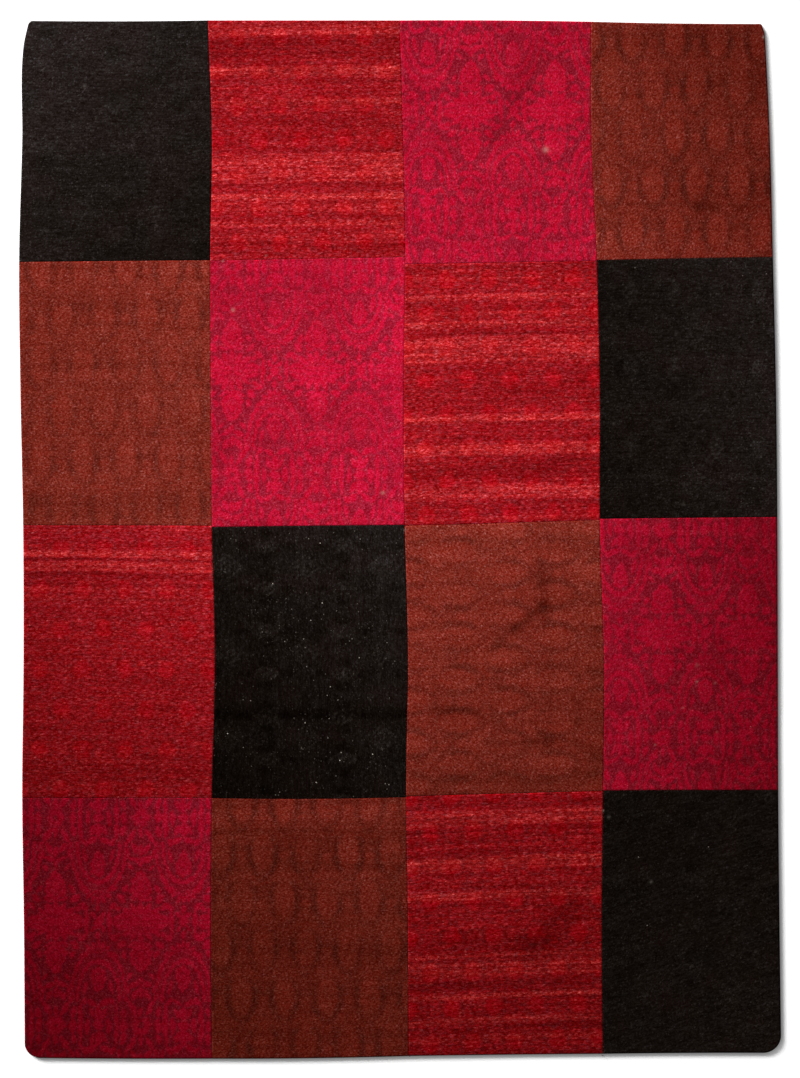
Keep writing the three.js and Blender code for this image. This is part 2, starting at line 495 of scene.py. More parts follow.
# How far the underside's outline is drawn in, and the height of a side's middle ring as a share of the side's
UNDERSIDE_INSET = 0.4 * MM
MIDDLE_RING = 0.5

# The stitches: slant from the seam in degrees, half length, height of the middle and rise of the ends, with
# the spread of the random ones, and the share of a seam that is left free at each end
STITCH = SimpleNamespace(
    slant=62.0,
    slant_spread=7.0,
    half_length=3.4 * MM,
    shortest=0.85,
    longest=1.15,
    height=7.9 * MM,
    height_spread=0.2 * MM,
    end_rise=0.5 * MM,
    points=5,
    sides=4,
    long_seam_end=0.003,
    short_seam_end=0.012,
    seed=7,
)

# The wool's surface, and how its patterns become tones: each pair is the range that a pattern is read over,
# or the range of values that it gives
WOOL = SimpleNamespace(
    roughness=0.95,
    sheen=0.03,
    sheen_roughness=0.6,
    knot_lines=380.0,
    curl_scale=130.0,
    curl_distortion=1.2,
    curl_line=(0.0, 0.07),
    # Painted shade between the tufts: distances over which a knot's tone falls towards its cell edge, and
    # tones
    knot_edge=(0.3, 0.8),
    knot_gap_shade_tones=(1.04, 0.86),
    stroke_range=(0.3, 0.7),
    speckle=(0.4, 1.6),
    tip_chance=(0.82, 1.0),
    patch_green=1.12,
    patch_blue=1.3,
    fleck_range=(1.0, 20.0),
    fleck_cover=(0.0, 0.95),
    fleck_edge=(0.3, 0.6),
    tuft_edge=(0.0, 0.8),
    tuft_strength=0.1,
    tuft_depth=0.5 * MM,
)
RISING = (0.0, 1.0)
FALLING = (1.0, 0.0)
WHITE = (1.0, 1.0, 1.0, 1.0)

# The sewing thread's surface and its ply lines, whose lighter bands are a painted highlight
THREAD = SimpleNamespace(
    roughness=0.85,
    mirror=0.1,
    ply_scale=900.0,
    ply_distortion=1.5,
    lit=1.8,
    bump=0.4,
    depth=0.2 * MM,
)

# How near the rug the floor's own light is dimmed, in metres, and the samples that find this out
FLOOR_SHADE_REACH = 0.03
FLOOR_SHADE_SAMPLES = 8

# The camera's sensor in millimetres, and how far it sees, in metres
CAMERA_SENSOR = 36.0
CAMERA_REACH = 200.0

# How strongly the pile's texture shows in each cloth, as shares of its tone. Columns: single knots, strokes
# of the pile's lie, dark curls, paler tips; then the number of knots and of strokes to a metre along the
# pile's lines, the number of lines of strokes to a metre across them, and the powers of the tone that green
# and blue follow where red follows the tone itself.
Finish = namedtuple("Finish", "knots strokes curls tips knot_count stroke_count stroke_lines green blue")
FINISHES = {
    "black": Finish(0.36, 0.24, 0.06, 0.55, 340, 55, 260, 1.3, 1.5),
    "striped": Finish(0.18, 0.18, 0.14, 0.30, 180, 90, 300, 4.3, 4.3),
    "crimson": Finish(0.12, 0.12, 0.06, 0.22, 340, 190, 300, 5.4, 3.9),
    "rust": Finish(0.17, 0.22, 0.06, 0.45, 340, 180, 300, 2.9, 3.8),
}


def measure(name, description, millimetres, least=0.0):
    """A length that a user can change."""
    return FloatProperty(
        name=name, description=description, default=millimetres * MM, min=least * MM, unit="LENGTH",
    )


def strength(name, description, default):
    """A strength of light that a user can change."""
    return FloatProperty(name=name, description=description, default=default, min=0.0)


def hue(name, description, default):
    """A colour that a user can change, in linear light."""
    return FloatVectorProperty(
        name=name, description=description, default=default, size=3, min=0.0, max=1.0, subtype="COLOR",
    )


class RugPile(PropertyGroup):
    """Sizes of the carpet pile and the sewing"""

    black_pitch: measure("Black knot pitch", "Distance between the knots of the black carpets", 3.7, 1.0)
    striped_pitch: measure("Striped knot pitch", "Distance between the striped carpets' knots", 2.8, 1.0)
    crimson_pitch: measure("Crimson knot pitch", "Distance between the crimson carpets' knots", 3.0, 1.0)
    rust_pitch: measure("Rust knot pitch", "Distance between the knots of the rust carpets", 3.8, 1.0)
    side_height: measure("Side height", "Height of a patch's cut side, to where its pile rounds off", 6.2)
    shoulder: measure("Shoulder", "Width of the rounded edge of the pile", 3.6)
    overlap: measure("Seam overlap", "How far the patches press into each other along a seam", 0.05)
    seam_dip: FloatProperty(
        name="Seam dip",
        description="How deep the groove of a seam is, as a share of the depth of the rug's rounded edge",
        default=0.3,
        min=0.0,
        max=1.0,
        subtype="FACTOR",
    )
    lie: measure("Unevenness of the lie", "How far the carpet swells and dips over a hand's breadth", 0.4)
    knot_relief: measure("Knot relief", "How far knots stand above or below the shorn pile", 0.04)
    figure_relief: measure("Figure relief", "How far the figure's pile stands above the ground's", 0.12)
    stitch_pitch: measure("Stitch pitch", "Distance from one seam stitch to the next", 8.0, 2.0)
    thread: measure("Thread", "Thickness of the sewing thread", 1.0)


class RugDyes(PropertyGroup):
    """Dye colours of the four cloths, the cotton under the pile and the thread"""

    black_ground: hue("Black ground", "Dye of the black carpets", (0.0058, 0.0042, 0.0033))
    black_figure: hue("Black tint", "Redder tint that shows through the black", (0.0105, 0.0055, 0.0048))
    black_tips: hue("Black tips", "Paler ends of the black pile", (0.0240, 0.0187, 0.0165))
    striped_ground: hue("Striped ground", "Duller ground of the striped carpets", (0.165, 0.0066, 0.0092))
    striped_figure: hue("Striped figure", "Purer red of the striped carpets' ovals", (0.340, 0.0024, 0.0060))
    striped_tips: hue("Striped tips", "Paler bands of the striped carpets", (0.550, 0.0290, 0.0295))
    crimson_ground: hue("Crimson ground", "Duller ground of the crimson damask", (0.200, 0.0053, 0.0164))
    crimson_figure: hue("Crimson figure", "Brighter figure of the crimson damask", (0.390, 0.0034, 0.0219))
    crimson_tips: hue("Crimson tips", "Paler ends of the crimson pile", (0.580, 0.0330, 0.0600))
    rust_ground: hue("Rust ground", "Darker ground of the rust trellis", (0.092, 0.0113, 0.0067))
    rust_figure: hue("Rust figure", "Redder lanterns of the rust trellis", (0.205, 0.0204, 0.0119))
    rust_tips: hue("Rust tips", "Paler ends of the rust pile", (0.300, 0.0570, 0.0390))
    cotton: hue("Cotton", "Pale warp that shows where the pile is worn through", (0.42, 0.36, 0.30))
    thread: hue("Thread", "Sewing thread of the seams", (0.030, 0.010, 0.009))


class RugStage(PropertyGroup):
    """Light, floor and camera"""

    sun_from: FloatVectorProperty(
        name="Main light from",
        description="Direction towards the broad main light",
        default=(-2.20, 2.20, 1.00),
        size=3,
        subtype="DIRECTION",
    )
    sun_spread: FloatProperty(
        name="Main light spread",
        description="Angle that the main light covers, which softens its shadows",
        default=np.radians(34.0),
        subtype="ANGLE",
    )
    sun_strength: strength("Main light strength", "Strength of the main light", 10.8)
    lamp_place: FloatVectorProperty(
        name="Near lamp place",
        description="Where the near lamp hangs, which lights the rug's top end more than its bottom end",
        default=(-0.50, 1.00, 1.75),
        size=3,
        subtype="TRANSLATION",
        unit="LENGTH",
    )
    lamp_size: measure("Near lamp size", "Side of the square near lamp", 900)
    lamp_power: FloatProperty(
        name="Near lamp power",
        description="Power of the near lamp",
        default=14.0,
        unit="POWER",
    )
    fill: strength("Fill", "Strength of the even light from all round", 0.06)
    floor_side: measure("Floor side", "Side of the square floor", 60000)
    floor_tint: hue("Floor tint", "Colour of the pale floor", (0.84, 0.84, 0.84))
    floor_glow: strength("Floor glow", "Floor's own light, which keeps it white away from the lamps", 0.36)
    camera_height: measure("Camera height", "Height of the camera above the rug's face", 6000)


def lengthwise(line, along):
    """Place across the rug of a lengthwise line at places along it.

    A cubic joins each two stations. Its slope at a station is the mean of the slopes of the two spans beside
    it, and at an end the slope of the end span.
    """
    stations = LENGTHWISE_LINES[:, 0]
    places = LENGTHWISE_LINES[:, 1 + line]
    spans = np.diff(places) / np.diff(stations)
    beside = np.concatenate((spans[:1], spans, spans[-1:]))
    slopes = (beside[:-1] + beside[1:]) / 2
    start = np.clip(np.searchsorted(stations, along) - 1, 0, len(stations) - 2)
    width = stations[start + 1] - stations[start]
    t = (along - stations[start]) / width
    return (
        places[start] * (1 + 2 * t) * (1 - t) ** 2
        + slopes[start] * width * t * (1 - t) ** 2
        + places[start + 1] * t**2 * (3 - 2 * t)
        + slopes[start + 1] * width * t**2 * (t - 1)
    )


def crosswise(strip, line, u):
    """Place along the rug of a crosswise line: the parabola through its left, middle and right places."""
    left, middle, right = CROSSWISE_LINES[strip - 1, line]
    return left * (1 - u) * (1 - 2 * u) + 4 * middle * u * (1 - u) + right * u * (2 * u - 1)


def patch_plan(patch, u, v, inset, overlap):
    """Plan of a patch: u runs from its left side to its right, v from its top end to its bottom end.

    The sides are drawn in by the inset and let out by the overlap where another patch lies beside them. In a
    rounded corner's box, the shares p and q of the way to the corner shrink in the ratio
    max(p, q) / (p^n + q^n)^(1/n), which turns the box's square outline into a curve of power n.
    """
    row, strip = patch.row, patch.strip
    top = crosswise(strip, row - 1, u)
    bottom = crosswise(strip, row, u)
    highest = top - inset + (overlap if row > 1 else 0.0)
    lowest = bottom + inset - (overlap if row < ROWS else 0.0)
    y = highest + (lowest - highest) * v
    left = lengthwise(strip - 1, y)
    right = lengthwise(strip, y)
    leftmost = left + inset - (overlap if strip > 1 else 0.0)
    rightmost = right - inset + (overlap if strip < STRIPS else 0.0)
    x = leftmost + (rightmost - leftmost) * u

    corner = RUG_CORNERS.get((row, strip))
    if corner:
        inward_across = 1.0 if strip == 1 else -1.0
        inward_along = -1.0 if row == 1 else 1.0
        side = left if strip == 1 else right
        end = top if row == 1 else bottom
        p = np.clip(1 - (x - side) * inward_across / corner.across, 0.0, None)
        q = np.clip(1 - (y - end) * inward_along / corner.along, 0.0, None)
        inside = (p > 0) & (q > 0)
        reach = np.where(inside, p**corner.power + q**corner.power, 1.0) ** (1 / corner.power)
        shrink = np.where(inside, np.maximum(p, q) / reach, 1.0)
        x = x + inward_across * corner.across * p * (1 - shrink) * inside
        y = y + inward_along * corner.along * q * (1 - shrink) * inside
    return x, y


def soft_noise(rng, x, y, across, along):
    """Smooth noise between -1 and 1.

    Random heights stand on a lattice of cells, whose sizes are in millimetres. Between them the height is
    blended by the smooth step 3t^2 - 2t^3, across the cell and then along it.
    """
    column, s = np.divmod(x / (across * MM), 1.0)
    line, t = np.divmod(y / (along * MM), 1.0)
    column = (column - column.min()).astype(int)
    line = (line - line.min()).astype(int)
    heights = rng.uniform(-1.0, 1.0, (line.max() + 2, column.max() + 2))
    s = s * s * (3 - 2 * s)
    t = t * t * (3 - 2 * t)
    near = heights[line, column] * (1 - s) + heights[line, column + 1] * s
    far = heights[line + 1, column] * (1 - s) + heights[line + 1, column + 1] * s
    return near * (1 - t) + far * t


def ragged(rng, x, y, reach, cell):
    """Shifts places by smooth noise, so that an outline drawn on them goes to and fro by a few knots.

    The reach of the shift and the noise's cell are in millimetres.
    """
    shift_x = reach * MM * soft_noise(rng, x, y, cell, cell)
    shift_y = reach * MM * soft_noise(rng, x, y, cell, cell)
    return x + shift_x, y + shift_y


def turned(x, y, degrees):
    """Distances along and across a direction that is turned from the rug's width by an angle."""
    angle = np.radians(degrees)
    return x * np.cos(angle) + y * np.sin(angle), y * np.cos(angle) - x * np.sin(angle)


def smooth_step(low, high, value):
    """Rises from 0 at low to 1 at high as 3t^2 - 2t^3."""
    t = np.clip((value - low) / (high - low), 0.0, 1.0)
    return t * t * (3 - 2 * t)


def fall_off(distance, width):
    """Falls from 1 in the middle to both sides as exp(-(distance / width)^2)."""
    return np.exp(-((distance / width) ** 2))


def centred(value, repeat):
    """Distance from the nearest whole number of repeats."""
    return value - repeat * np.round(value / repeat)


def ellipse(across, along, half):
    """Share of the way from the middle of an ellipse to its rim, by its half sizes."""
    return np.hypot(across / half[0], along / half[1])


def flower(across, along, shape):
    """Lobed flower round an eye, positive inside.

    The lesser of 1 - distance / rim and distance / eye - 1, with rim = radius (1 + depth cos(lobes angle)).
    """
    distance = np.hypot(across, along)
    rim = shape.radius * (1 + shape.depth * np.cos(shape.lobes * np.arctan2(along, across)))
    return np.minimum(1 - distance / rim, (distance - shape.eye) / shape.eye)


def leaf(across, along, length, width, degrees):
    """Pointed leaf: 1 - |b| / width - (a / length)^2, with a along the leaf and b across it."""
    a, b = turned(across, along, degrees)
    return 1 - np.abs(b) / width - (a / length) ** 2


def damask(x, y, level):
    """Damask mirrored both ways round the middle of a large palmette, 0 on its ground and 1 in its figures.

    The place is folded into one quarter of the repeat. Each leaf, the rosette, the two scalloped strands of
    the wreath along half an ellipse, and the ring and core of each drop give fields that fall from their
    middles outwards. A line is where the highest field, raised by the knot's own level, is above a limit, and
    a dark vein runs where the two highest fields are alike. Under the lines lie the bodies of the wreath, the
    palmette and the drops, at part strength. A drop has a lobed rim, narrows as it goes away, and is ribbed.
    """
    width, height = DAMASK_REPEAT
    palmette = np.abs(centred(x, width))
    wreath = width / 2 - palmette
    away = np.abs(centred(y, height))
    aside = {"palmette": palmette, "wreath": wreath}

    ring_across = wreath / WREATH.half[0]
    ring_along = (away - WREATH.away) / WREATH.half[1]
    from_ring = np.hypot(ring_across, ring_along) - 1
    is_closed = ring_along < WREATH.open_from
    scallops = 1 + WREATH.scallop_depth * np.cos(WREATH.scallops * np.arctan2(ring_along, ring_across))
    strands = 1 - np.abs(np.abs(from_ring) - WREATH.strand_offset) / (WREATH.strand_width * scallops)
    wreath_body = np.where(is_closed, 1 - np.abs(from_ring) / WREATH.body_width, -1.0)
    palmette_body = 1 - ellipse(palmette, away, PALMETTE.half)
    bodies = [
        WREATH.strength * smooth_step(*DAMASK_EDGES.body, wreath_body),
        PALMETTE.strength * smooth_step(*DAMASK_EDGES.body, palmette_body),
    ]
    fields = [
        np.where(is_closed, strands, -1.0),
        flower(palmette, away - height / 2, ROSETTE),
    ]
    for drop in DAMASK_DROPS:
        up = (away / MM - drop.away) / drop.length
        over = aside[drop.axis] / (drop.width * MM * (1 - DROP.taper * up))
        out = np.hypot(over, up) / (1 + DROP.lobe_depth * np.cos(drop.lobes * np.arctan2(over, up)))
        ribs = np.cos(2 * np.pi * (away - DROP.rib_slope * aside[drop.axis]) / DROP.rib_pitch)
        body = smooth_step(*DAMASK_EDGES.body, 1 - out)
        bodies.append((DROP.strength + DROP.rib_strength * ribs) * body)
        fields.append(1 - np.abs(out - DROP.ring) / DROP.ring_width)
        fields.append(1 - out / DROP.core)
    for petal in DAMASK_LEAVES:
        fields.append(leaf(
            aside[petal.axis] - petal.aside * MM,
            away - petal.away * MM,
            petal.length * MM,
            petal.width * MM,
            petal.degrees,
        ))
    second, highest = np.sort(np.stack(fields), axis=0)[-2:]
    vein = fall_off(highest - second, DAMASK_EDGES.vein_width) * smooth_step(*DAMASK_EDGES.vein, second)
    lines = smooth_step(*DAMASK_EDGES.line, highest + level) * (1 - DAMASK_EDGES.vein_depth * vein)
    return np.maximum(lines, np.max(bodies, axis=0))


def half_drop_rows(x, y, across, along):
    """Distances aside from and below the nearest motif, in the row above a place and in the row under it.

    Each next row is shifted by half a repeat.
    """
    line = np.floor(y / along)
    places = []
    for row in (line, line + 1):
        aside = x - np.mod(row, 2) * across / 2
        places.append((np.abs(centred(aside, across)), y - row * along))
    return places


def half_drop(x, y, across, along):
    """Distances aside from and below the nearest motif of a half-dropped repeat."""
    (aside0, below0), (aside1, below1) = half_drop_rows(x, y, across, along)
    first = (aside0 / across) ** 2 + (below0 / along) ** 2 < (aside1 / across) ** 2 + (below1 / along) ** 2
    return np.where(first, aside0, aside1), np.where(first, below0, below1)


def lanterns(x, y):
    """Tone of the lantern trellis, from about -0.5 to 0.3.

    A lantern is a light oval with a dark halo at its sides that thins out below it. Over it stands a bell as
    wide as the repeat, which narrows upwards by exp(-(height / reach)^2) and ends in a knob between the two
    lanterns of the row above. The halo lies over the bell, and the oval over both.
    """
    (aside0, below0), (aside1, below1) = half_drop_rows(x, y, *LANTERN_REPEAT)
    out0 = ellipse(aside0, below0, LANTERN.half)
    out1 = ellipse(aside1, below1, LANTERN.half)
    out = np.minimum(out0, out1)
    below = np.where(out0 < out1, below0, below1)
    height = -below1
    over_eaves = np.clip(height - BELL.eaves, 0.0, None)
    half_width = BELL.half_width * fall_off(over_eaves, BELL.reach)
    bell = smooth_step(*BELL.side, half_width - aside1) * smooth_step(*BELL.foot, height)
    knob = 1 - smooth_step(*KNOB.edge, np.hypot(aside1, height - KNOB.height) / KNOB.radius)
    under = smooth_step(*HALO.under, below)
    halo = fall_off(out - HALO.out, HALO.reach - HALO.reach_loss * under) * (1 - HALO.weight_loss * under)
    halo = halo * smooth_step(*HALO.starts, below)
    tone = np.maximum(BELL.tone * bell, KNOB.tone * knob) + TRELLIS_GROUND
    tone = tone + (HALO.tone - tone) * halo * (1 - HALO.loss_at_knob * knob)
    return tone + (LANTERN.tone - tone) * (1 - smooth_step(*LANTERN.edge, out))


def ovals(x, y, rows):
    """The striped carpets' ovals, 1 inside, over rows of little rings of about 0.6, with 0 between them."""
    out = ellipse(*half_drop(x, y, OVAL_PITCH, rows), OVAL.half)
    ring = ellipse(*half_drop(x, y, *RING_REPEAT), RING.half)
    ring = fall_off(ring - RING.line, RING.line_width) * smooth_step(*OVAL.clear, out)
    return np.maximum(1 - smooth_step(*OVAL.edge, out), RING.strength * ring)


def lozenge_lines(aside, below, shape):
    """Lines of a lozenge, by the sum of the shares of the way out across and along."""
    out = aside / shape.half[0] + below / shape.half[1]
    return sum(weight * fall_off(out - share, width) for share, width, weight in shape.lines)


def black_figure(patch, x, y, rng):
    """Columns of small eyes and, between them, of larger lozenges, worn faint and turned as the patch is.

    An eye is a ringed lozenge with a dark disc above and below it and a dark bar to each side. A larger
    lozenge has two rings round a core. Threads run along the pile's lines.
    """
    mix = BLACK_MIX
    ragged_x, ragged_y = ragged(rng, x, y, reach=1.5, cell=12)
    across, along = turned(ragged_x - patch.across * MM, ragged_y - patch.along * MM, patch.turn)
    column_pitch, eye_pitch = EYE_REPEAT
    aside = np.abs(centred(across, column_pitch))
    below = np.abs(centred(along, eye_pitch))
    beyond = np.abs(centred(along - eye_pitch / 2, 2 * eye_pitch))
    eyes = lozenge_lines(aside, below, EYE)
    lozenges = lozenge_lines(column_pitch / 2 - aside, beyond, LOZENGE)
    discs = 1 - smooth_step(*DISC_EDGE, ellipse(aside, below - DISC.below, DISC.half))
    bars = 1 - smooth_step(*DISC_EDGE, ellipse(aside - BAR.aside, below, BAR.half))

    wear = soft_noise(rng, *turned(x, y, patch.slant), across=90, along=40)
    broken = np.clip(mix.broken + mix.broken_range * rng.standard_normal(x.shape), 0.0, None)
    threads = soft_noise(rng, *turned(x, y, patch.slant), across=45, along=4.5)
    tufts = soft_noise(rng, x, y, across=7, along=7)
    tint = soft_noise(rng, x, y, across=50, along=50)
    light = patch.contrast * (1 + mix.wear * wear) * broken * (mix.eyes * eyes + mix.lozenges * lozenges)
    light = light + mix.thread_tips * np.clip(threads, 0.0, None)
    shade = 1 + mix.wear_shade * wear + mix.thread_shade * threads + mix.tuft_shade * tufts
    shade = shade - mix.disc_shade * patch.contrast * np.maximum(discs, bars)
    return Dyeing(mix.tint + mix.tint_range * tint, light, shade)


def band_bend(patch, x):
    """How far a striped patch's bands lie from a straight line: they climb from left to right and arch."""
    run = BAND_RUNS[patch.row, patch.strip]
    share = (x - x.min()) / np.ptp(x)
    return MM * (run.climb * (share - 0.5) + run.arch * (1 - (2 * share - 1) ** 2))


def band_lift(patch, along):
    """Lift of the dye bands.

    With out as the share of the way from a band's line to its half width, each band falls off by exp(-out^4),
    and its rims are stronger than its middle by a part of out^2.
    """
    lift = np.zeros_like(along)
    for band in BANDS:
        if (band.row, band.strip) == (patch.row, patch.strip):
            out = (along / MM - band.along) / band.half_width
            rim = STRIPED_MIX.band_middle + STRIPED_MIX.band_rim * out**2
            lift += band.lift * np.exp(-(out**4)) * rim
    return lift


def striped_figure(patch, x, y, rng):
    """Bands of paler and darker dye across the patch, over rows of small ovals that show best in the bands.

    The bands' pale tips are broken up by grains, by streaks along the weft and by slanting rope lines.
    """
    mix = STRIPED_MIX
    along = y - band_bend(patch, x)
    rows = BAND_RUNS[patch.row, patch.strip].oval_rows * MM
    ragged_x, ragged_y = ragged(rng, x, along, reach=2, cell=9)
    motif = ovals(ragged_x - patch.across * MM, patch.along * MM - ragged_y, rows)
    grains = soft_noise(rng, x, along, across=8, along=3.5)
    streaks = soft_noise(rng, x, along, across=140, along=3.5)
    rope = np.cos(2 * np.pi * (x + along) / ROPE_PITCH)
    bands = band_lift(patch, along + MM * soft_noise(rng, x, y, across=25, along=300))
    figure = mix.ground + patch.contrast * (mix.motif * motif + mix.grains * grains)
    broken = mix.band + mix.band_motif * motif + mix.band_grains * grains
    broken = broken + mix.band_streaks * streaks + mix.band_rope * rope
    light = np.clip(bands, 0.0, None) * broken
    light = light + mix.stray_tips * np.clip(grains + streaks - mix.stray_limit, 0.0, None)
    shade = 1 + mix.band_shade * np.clip(bands, None, 0.0) + mix.streak_shade * patch.contrast * streaks
    return Dyeing(figure, light, shade)


def crimson_figure(patch, x, y, rng):
    """The damask, ragged and worn softer in places, with paler tips on its ground and along its weft."""
    mix = CRIMSON_MIX
    ragged_x, ragged_y = ragged(rng, x, y, reach=2.2, cell=9)
    level = mix.knot_level * rng.standard_normal(x.shape)
    level = level + mix.patch_level * soft_noise(rng, x, y, across=14, along=14)
    figure = damask(ragged_x - patch.across * MM, patch.along * MM - ragged_y, level)
    wear = soft_noise(rng, x, y, across=90, along=90)
    blots = soft_noise(rng, x, y, across=30, along=22)
    grains = soft_noise(rng, x, y, across=4, along=4)
    weft = soft_noise(rng, x, y, across=90, along=5)
    figure = EVEN_MIX + patch.contrast * (mix.contrast + mix.wear * wear) * (figure - mix.middle)
    light = mix.grain_tips * (1 - figure) * np.clip(grains, 0.0, None)
    light = light + mix.weft_tips * np.clip(weft, 0.0, None)
    shade = 1 + mix.wear_shade * wear + mix.blot_shade * blots + mix.weft_shade * weft
    return Dyeing(figure, light, shade)


def rust_figure(patch, x, y, rng):
    """The trellis of lanterns, turned as its patch is, with ragged outlines, worn softer in places."""
    mix = RUST_MIX
    ragged_x, ragged_y = ragged(rng, x, y, reach=2, cell=10)
    across, along = turned(ragged_x - patch.across * MM, ragged_y - patch.along * MM, patch.turn)
    tone = lanterns(across, -along)
    worn = patch.contrast * (mix.contrast + mix.wear * soft_noise(rng, x, y, across=70, along=40))
    weft = soft_noise(rng, x, y, across=110, along=4)
    warp = soft_noise(rng, x, y, across=20, along=400)
    dye_bands = soft_noise(rng, x, y, across=350, along=22)
    grains = np.clip(soft_noise(rng, x, y, across=5, along=5), 0.0, None)
    shade = 1 + mix.weft_shade * weft + mix.warp_shade * warp + mix.band_shade * dye_bands
    figure = EVEN_MIX + worn * tone + mix.knots * rng.standard_normal(x.shape)
    return Dyeing(figure, mix.grain_tips * grains, shade)


FIGURES = {
    "black": black_figure,
    "striped": striped_figure,
    "crimson": crimson_figure,
    "rust": rust_figure,
}


def knot_lines(length, pitch, shoulder):
    """Places of the grid lines along a side, as shares of its length.

    They are a knot apart in the middle and close together over the rounded shoulder at both ends, where their
    distances from the edge grow as the square of their number.
    """
    start = SHOULDER_SPAN * shoulder
    near = start * (np.arange(SHOULDER_LINES) / SHOULDER_LINES) ** 2
    middle = np.linspace(start, length - start, round((length - 2 * start) / pitch) + 1)
    return np.concatenate((near, middle, length - near[::-1])) / length


def shoulder_height(distance, shoulder):
    """Quarter of an ellipse: rises from 0 to 1 over the shoulder's width s as sqrt(1 - (1 - d / s)^2)."""
    left = 1 - np.clip(distance / shoulder, 0.0, 1.0)
    return np.sqrt(1 - left**2)


def edge_rise(patch, from_left, from_top, width, length, pile):
    """Share of the pile's height over a patch: 0 on the rug's own edges, a little less than 1 along seams."""
    sides = (
        (from_left, patch.strip == 1),
        (width - from_left, patch.strip == STRIPS),
        (from_top, patch.row == 1),
        (length - from_top, patch.row == ROWS),
    )
    rise = np.ones_like(from_left)
    for distance, is_edge in sides:
        depth = 1.0 if is_edge else pile.seam_dip
        rise = rise * (1 - depth * (1 - shoulder_height(distance, pile.shoulder)))
    return rise


def add_object(name, data):
    """A new object in the scene."""
    thing = bpy.data.objects.new(name, data)
    bpy.context.scene.collection.objects.link(thing)
    return thing


def make_mesh(name, points, quads, triangles=np.empty((0, 3), int)):
    """A smooth-shaded mesh of points, four-sided faces and three-sided faces."""
    mesh = bpy.data.meshes.new(name)
    corners = np.concatenate((quads.ravel(), triangles.ravel()))
    starts = np.concatenate((
        np.arange(len(quads)) * 4,
        len(quads) * 4 + np.arange(len(triangles)) * 3,
    ))
    mesh.vertices.add(len(points))
    mesh.vertices.foreach_set("co", points.ravel())
    mesh.loops.add(len(corners))
    mesh.loops.foreach_set("vertex_index", corners)
    mesh.polygons.add(len(starts))
    mesh.polygons.foreach_set("loop_start", starts)
    mesh.update(calc_edges=True)
    mesh.shade_smooth()
    return mesh


def place(name, mesh, material):
    """Puts a finished mesh into the scene as a piece that rides on the rug's one body."""
    mesh.materials.append(material)
    piece = add_object(name, mesh)
    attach(piece, "root")
    return piece


def rim_order(lines, columns):
    """Numbers of a grid's rim points, counter-clockwise from above, its first line being its top end."""
    grid = np.arange(lines * columns).reshape(lines, columns)
    return np.concatenate((grid[-1, :-1], grid[:0:-1, -1], grid[0, :0:-1], grid[:-1, 0]))


def grid_quads(lines, columns):
    """The faces of a grid whose first line is the top end, facing up."""
    grid = np.arange(lines * columns).reshape(lines, columns)
    return np.stack((grid[1:, :-1], grid[1:, 1:], grid[:-1, 1:], grid[:-1, :-1]), axis=-1).reshape(-1, 4)


def painted_crease_shade_and_lines(patch, x, y):
    """Share of the tone taken by painted shade along creases and by darker lines, or given by paler lines.

    Each crease falls off from its line by exp(-(distance / half width)^2).
    """
    kept = np.ones_like(x)
    for crease in CREASES:
        if (crease.row, crease.strip) == (patch.row, patch.strip):
            start_x, start_y = crease.across1 * MM, crease.along1 * MM
            run_x, run_y = crease.across2 * MM - start_x, crease.along2 * MM - start_y
            share = ((x - start_x) * run_x + (y - start_y) * run_y) / (run_x**2 + run_y**2)
            share = np.clip(share, 0.0, 1.0)
            distance = np.hypot(x - start_x - share * run_x, y - start_y - share * run_y)
            kept *= 1 - crease.loss * fall_off(distance, crease.half_width * MM)
    return 1 - kept


def bare_knots(x, y):
    """How far the specks bare each knot: each falls off from its middle by exp(-(distance / radius)^2)."""
    bare = np.zeros_like(x)
    for speck in SPECKS:
        distance = np.hypot(x - speck.across * MM, y - speck.along * MM) / MM
        bare = np.maximum(bare, speck.bare * fall_off(distance, speck.radius))
    return bare


def dye_knots(patch, pile, grid, rise, rng):
    """Values of a patch's knots for its material, by name, and the relief of its face.

    The tone is the patch's own, times exp(-share) across and along, which is painted shade of the light's
    fall-off, and shaded by the figure, by painted shade along the creases and by darker and paler lines, by
    the grain, and by painted shade on the rounded edges and in the seam grooves. The relief is the lie of the
    cloth, which creases sink, the knots and the figure.
    """
    u, v, x, y = grid
    dyeing = FIGURES[patch.cloth](patch, x, y, rng)
    figure = np.clip(dyeing.figure, 0.0, 1.0)
    light = np.clip(dyeing.light, 0.0, 1.0)
    clumps = soft_noise(rng, x, y, across=10, along=10)
    blotches = soft_noise(rng, x, y, across=45, along=45)
    knots = rng.standard_normal(x.shape)
    unevenness = np.clip(1 + KNOTS.worn_range * soft_noise(rng, x, y, across=60, along=60), 0.0, None)
    lie = soft_noise(rng, x, y, across=150, along=150)

    grain = KNOTS.grain * knots + KNOTS.clump_grain * clumps + KNOTS.blotch_grain * blotches
    # Painted shade along the creases, and darker and paler lines of the cloth
    loss = painted_crease_shade_and_lines(patch, x, y)
    # Painted shade: the light's fall-off across and along the patch
    painted_falloff = np.exp(-patch.fade_across * (u - 0.5) - patch.fade_along * (v - 0.5))
    # Painted shade on the rounded edges and in the seam grooves
    edge = KNOTS.painted_edge_shade + (1 - KNOTS.painted_edge_shade) * rise
    values = {
        "figure": figure,
        "light": light,
        "tone": patch.tone * painted_falloff * dyeing.shade * (1 - loss) * (1 + grain) * edge,
        "worn": patch.worn / KNOTS.worn_in * unevenness * (KNOTS.worn_least + KNOTS.worn_by_tips * light),
        "bare": bare_knots(x, y),
    }
    relief = pile.lie * (lie - KNOTS.crease_depth * loss) + pile.knot_relief * (knots + clumps - 1.0)
    return values, relief + pile.figure_relief * (figure - EVEN_MIX)


